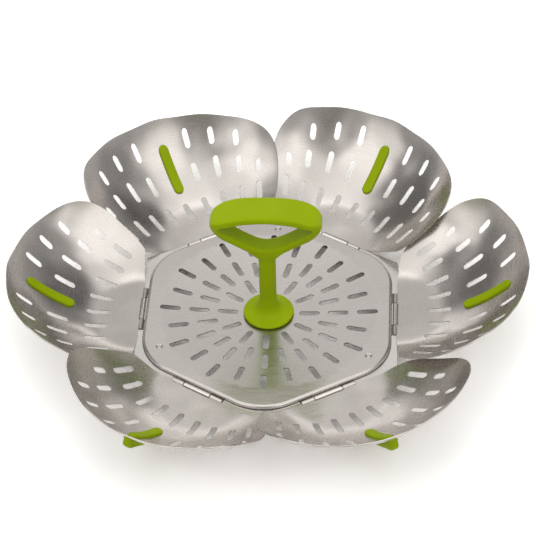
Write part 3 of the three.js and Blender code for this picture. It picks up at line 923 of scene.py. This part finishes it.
def brushed_space(tree, spot, rounded, fineness):
    """Coordinates drawn out along the brushing, which runs round the axis or straight along X."""
    x, y, z = add_node(tree, "SeparateXYZ", {0: spot}).outputs
    x2, y2 = math_node(tree, "MULTIPLY", x, x), math_node(tree, "MULTIPLY", y, y)
    radius = math_node(tree, "SQRT", math_node(tree, "ADD", x2, y2))
    arc = math_node(tree, "MULTIPLY", math_node(tree, "ARCTAN2", y, x), brushed_arc)
    across = mix_node(tree, rounded, y, radius)
    along = mix_node(tree, rounded, x, arc)
    return add_node(tree, "CombineXYZ", {
        "X": math_node(tree, "MULTIPLY", across, fineness),
        "Y": math_node(tree, "MULTIPLY", along, brushed_along),
        "Z": math_node(tree, "MULTIPLY", z, fineness),
    }).outputs[0]


def grain_group():
    """A brushed sheet: fine scratches, round or straight, duller patches and slow waves in it."""
    outputs = ("Scratches", "Patches", "Waves")
    group, given, result = new_group("brushed_grain", ("Round", "Fineness"), outputs)
    spot = add_node(group, "TexCoord").outputs["Object"]
    space = brushed_space(group, spot, given["Round"], given["Fineness"])
    fill(group, result, {
        "Scratches": noise(group, space, scale=1.0, detail=4.0, roughness=0.6),
        "Patches": noise(group, spot, patch_scale, detail=3.0),
        "Waves": noise(group, spot, wave_scale, detail=1.0),
    })
    return group


def spread_direction(tree, ringed):
    """The way that the brushing spreads a highlight: outwards on a ringed sheet, else along Y."""
    if ringed:
        spot = add_node(tree, "TexCoord").outputs["Object"]
        keep = add_node(tree, "VectorMath", {0: spot, 1: (1, 1, 0)})
        keep.operation = "MULTIPLY"
        way = keep.outputs[0]
    else:
        way = add_node(tree, "CombineXYZ", {"Y": 1.0}).outputs[0]
    to_world = add_node(tree, "VectorTransform", {0: way})
    to_world.convert_from = "OBJECT"
    to_world.convert_to = "WORLD"
    return to_world.outputs[0]


def brushed_steel(name, colours, roughness, ringed, fineness, anisotropy, depth, wave):
    """Sheet or wire steel. depth is the strength of the scratches, wave the height of the slow waves."""
    material, tree, shader = new_material(name)
    grain = add_group(tree, grain_tree, {"Round": float(ringed), "Fineness": fineness}).outputs
    uneven = bump(tree, grain["Waves"], 1.0, wave)
    fill(tree, shader, {
        "Base Color": ramp(tree, grain["Patches"], *colours),
        "Roughness": ramp(tree, grain["Scratches"], *roughness),
        "Normal": bump(tree, grain["Scratches"], depth, scratch_depth, uneven),
        "Metallic": 1.0,
    })
    if anisotropy:
        fill(tree, shader, {"Tangent": spread_direction(tree, ringed), "Anisotropic": anisotropy})
    return material


def moulded(name, colours, roughness, pebble, depth):
    """Satin moulded plastic or rubber with a very fine pebbled skin."""
    material, tree, shader = new_material(name)
    spot = add_node(tree, "TexCoord").outputs["Object"]
    skin = noise(tree, spot, pebble)
    fill(tree, shader, {
        "Base Color": ramp(tree, noise(tree, spot, cloud_scale), *colours),
        "Roughness": ramp(tree, skin, *roughness),
        "Normal": bump(tree, skin, depth, pebble_depth),
        "Specular IOR Level": 0.1,
    })
    return material


grain_tree = grain_group()
leaf_steel = brushed_steel(
    "leaf_steel", colours=((0.55, 0.515, 0.49), (0.585, 0.55, 0.525)), roughness=(0.24, 0.31),
    ringed=True, fineness=2600, anisotropy=0.65, depth=0.12, wave=2.8)
plate_steel = brushed_steel(
    "plate_steel", colours=((0.53, 0.5, 0.478), (0.555, 0.525, 0.503)), roughness=(0.25, 0.32),
    ringed=False, fineness=2600, anisotropy=0.35, depth=0.12, wave=0.3)
frame_steel = brushed_steel(
    "frame_steel", colours=((0.64, 0.62, 0.6), (0.69, 0.665, 0.64)), roughness=(0.2, 0.28),
    ringed=False, fineness=2600, anisotropy=0.2, depth=0.22, wave=0.1)
wire_steel = brushed_steel(
    "wire_steel", colours=((0.5, 0.49, 0.48), (0.58, 0.57, 0.56)), roughness=(0.2, 0.3),
    ringed=False, fineness=1800, anisotropy=0.0, depth=0.2, wave=0.1)
green_plastic = moulded(
    "green_plastic", colours=((0.325, 0.447, 0.0), (0.35, 0.477, 0.0)), roughness=(0.42, 0.5),
    pebble=2600, depth=0.15)
green_rubber = moulded(
    "green_rubber", colours=((0.295, 0.41, 0.0), (0.318, 0.435, 0.0)), roughness=(0.5, 0.58),
    pebble=2000, depth=0.2)

# Pieces
leaf, foot, pin = leaf_shell(), foot_shell(), pin_shell()
for k in range(leaf_count):
    turn = k * sector
    body = f"leaf_{k + 1}"
    leaf_name, foot_name, pin_name = f"leaf_{k + 1}_sheet", f"leaf_{k + 1}_foot", f"hinge_{k + 1}_pin"
    place(leaf_name, leaf.mesh(leaf_name, turn), body, leaf_steel, f"petal_{k + 1}")
    place(foot_name, foot.mesh(foot_name, turn), body, green_rubber, f"foot_{k + 1}")
    place(pin_name, pin.mesh(pin_name, turn), "base", wire_steel, f"hinge_pin_{k + 1}")
place("slotted_plate", plate_mesh(), "base", plate_steel, "base_plate")
place("under_frame", frame_mesh(), "base", frame_steel, "hinge_frame")
place("loop_handle", handle_mesh(), "base", green_plastic, "handle")
place("under_washer", washer_mesh(), "base", wire_steel, "handle_washer")
place("under_screw", screw_mesh(), "base", wire_steel, "handle_screw")


# Camera, floor and light
camera_from = Vector((57.2, -755.2, 755.9)) * MM
camera_to = Vector((-1.98, 30.87, 9.4)) * MM
camera_roll = math.radians(-1.758)
camera_lens = 136.69
# middle and half width round the compass, lowest and highest edge, softness, radiance
studio_panels = [
    (94, 200, -20, 9, 7, 0.7),
    (94, 24, 2, 27, 8, 1.6),
    (94, 14, 26, 60, 9, 0.86),
    (94, 38, 62, 84, 8, 2.0),
    (213, 31, 30, 64, 8, 1.8),
    (322, 31, 30, 64, 8, 1.8),
    (151, 25, 14, 56, 8, 0.18),
    (46, 19, 24, 57, 8, 0.1),
    (275, 17, 20, 56, 8, 0.3),
]
room_low = 0.34                 # radiance of the studio near the horizon
room_high = 1.25                # and overhead
room_low_until = 38             # heights in degrees between which it brightens
room_high_from = 66
room_tint = (1, 0.99, 0.975, 1)
floor_half = 3.0
floor_drop = 0.05               # so that the collar's foot doesn't lie in the floor
floor_grey = 0.82               # the floor's colour as it lights the basket
floor_white = 1.38              # and as it is seen, with a slight glow of its own
floor_glow = 0.012


def add_camera():
    data = bpy.data.cameras.new("camera")
    data.lens = camera_lens
    data.sensor_width = 36
    made = bpy.data.objects.new("camera", data)
    bpy.context.scene.collection.objects.link(made)
    aim = (camera_to - camera_from).to_track_quat("-Z", "Y").to_matrix().to_4x4()
    made.matrix_world = Matrix.Translation(camera_from) @ aim @ Matrix.Rotation(camera_roll, 4, "Z")
    bpy.context.scene.camera = made


def floor_material():
    """A white sweep: plain grey to the light that it throws, and white to the eye and in reflections."""
    material, tree, shader = new_material("white_sweep")
    grey, white = (floor_grey, floor_grey, floor_grey, 1), (floor_white, floor_white, floor_white, 1)
    fill(tree, shader, {"Base Color": grey, "Roughness": 0.9, "Specular IOR Level": 0.0})
    plain = add_node(tree, "BsdfDiffuse", {"Color": white})
    glow = add_node(tree, "Emission", {"Strength": floor_glow})
    both = add_node(tree, "AddShader", {0: plain.outputs[0], 1: glow.outputs[0]})
    seen = add_node(tree, "LightPath").outputs
    either = math_node(tree, "MAXIMUM", seen["Is Camera Ray"], seen["Is Glossy Ray"])
    either = math_node(tree, "MAXIMUM", either, seen["Is Transmission Ray"])
    choose = add_node(tree, "MixShader", {0: either, 1: shader.outputs[0], 2: both.outputs[0]})
    output = next(node for node in tree.nodes if node.bl_idname == "ShaderNodeOutputMaterial")
    fill(tree, output, {0: choose.outputs[0]})
    return material


def add_floor():
    half = floor_half
    corners = [(-half, -half, 0), (half, -half, 0), (half, half, 0), (-half, half, 0)]
    mesh = bpy.data.meshes.new("floor")
    mesh.from_pydata(corners, [], [(0, 1, 2, 3)])
    mesh.materials.append(floor_material())
    made = bpy.data.objects.new("floor", mesh)
    bpy.context.scene.collection.objects.link(made)
    made.location.z = -floor_drop * MM


def panel_group():
    """A soft-edged window of the studio, by compass direction and height, in degrees."""
    inputs = ("Compass", "Height", "Middle", "Half width", "Low", "High", "Softness")
    group, given, result = new_group("studio_panel", inputs, ("Mask",))

    def edge(distance):
        """A soft step, over the softness on both sides of distance 0."""
        below = math_node(group, "MULTIPLY", given["Softness"], -1.0)
        sockets = {"Value": distance, "From Min": below, "From Max": given["Softness"]}
        soft = add_node(group, "MapRange", sockets)
        soft.interpolation_type = "SMOOTHSTEP"
        return soft.outputs[0]

    away = math_node(group, "SUBTRACT", given["Compass"], given["Middle"])
    off = math_node(group, "ABSOLUTE", math_node(group, "WRAP", away, -180, 180))
    sideways = edge(math_node(group, "SUBTRACT", given["Half width"], off))
    over = edge(math_node(group, "SUBTRACT", given["Height"], given["Low"]))
    under = edge(math_node(group, "SUBTRACT", given["High"], given["Height"]))
    both = math_node(group, "MULTIPLY", over, under)
    fill(group, result, {"Mask": math_node(group, "MULTIPLY", both, sideways)})
    return group


def studio_light(tree):
    """Radiance of the studio by direction: brighter overhead, with the panels laid over it in turn."""
    way = add_node(tree, "TexCoord").outputs["Generated"]
    x, y, z = add_node(tree, "SeparateXYZ", {0: way}).outputs
    compass = math_node(tree, "MULTIPLY", math_node(tree, "ARCTAN2", y, x), math.degrees(1))
    height = math_node(tree, "MULTIPLY", math_node(tree, "ARCSINE", z), math.degrees(1))
    overhead = add_node(tree, "MapRange", {
        "Value": height, "From Min": room_low_until, "From Max": room_high_from,
        "To Min": room_low, "To Max": room_high})
    overhead.interpolation_type = "SMOOTHSTEP"
    light = overhead.outputs[0]
    for middle, half, low, high, softness, radiance in studio_panels:
        panel = add_group(tree, panel_tree, {
            "Compass": compass, "Height": height, "Middle": middle, "Half width": half,
            "Low": low, "High": high, "Softness": softness})
        light = mix_node(tree, panel.outputs["Mask"], light, radiance)
    return light


def add_world():
    """The studio lights the basket, and the camera sees plain white behind it."""
    world = bpy.data.worlds.new("studio")
    bpy.context.scene.world = world
    world.use_nodes = True
    tree = world.node_tree
    tree.nodes.clear()
    room = add_node(tree, "Background", {"Color": room_tint, "Strength": studio_light(tree)})
    white = add_node(tree, "Background", {"Color": (1, 1, 1, 1), "Strength": 1.0})
    seen = add_node(tree, "LightPath").outputs["Is Camera Ray"]
    choose = add_node(tree, "MixShader", {0: seen, 1: room.outputs[0], 2: white.outputs[0]})
    add_node(tree, "OutputWorld", {0: choose.outputs[0]})


bpy.context.scene.view_settings.view_transform = "Standard"
add_camera()
add_floor()
panel_tree = panel_group()
add_world()
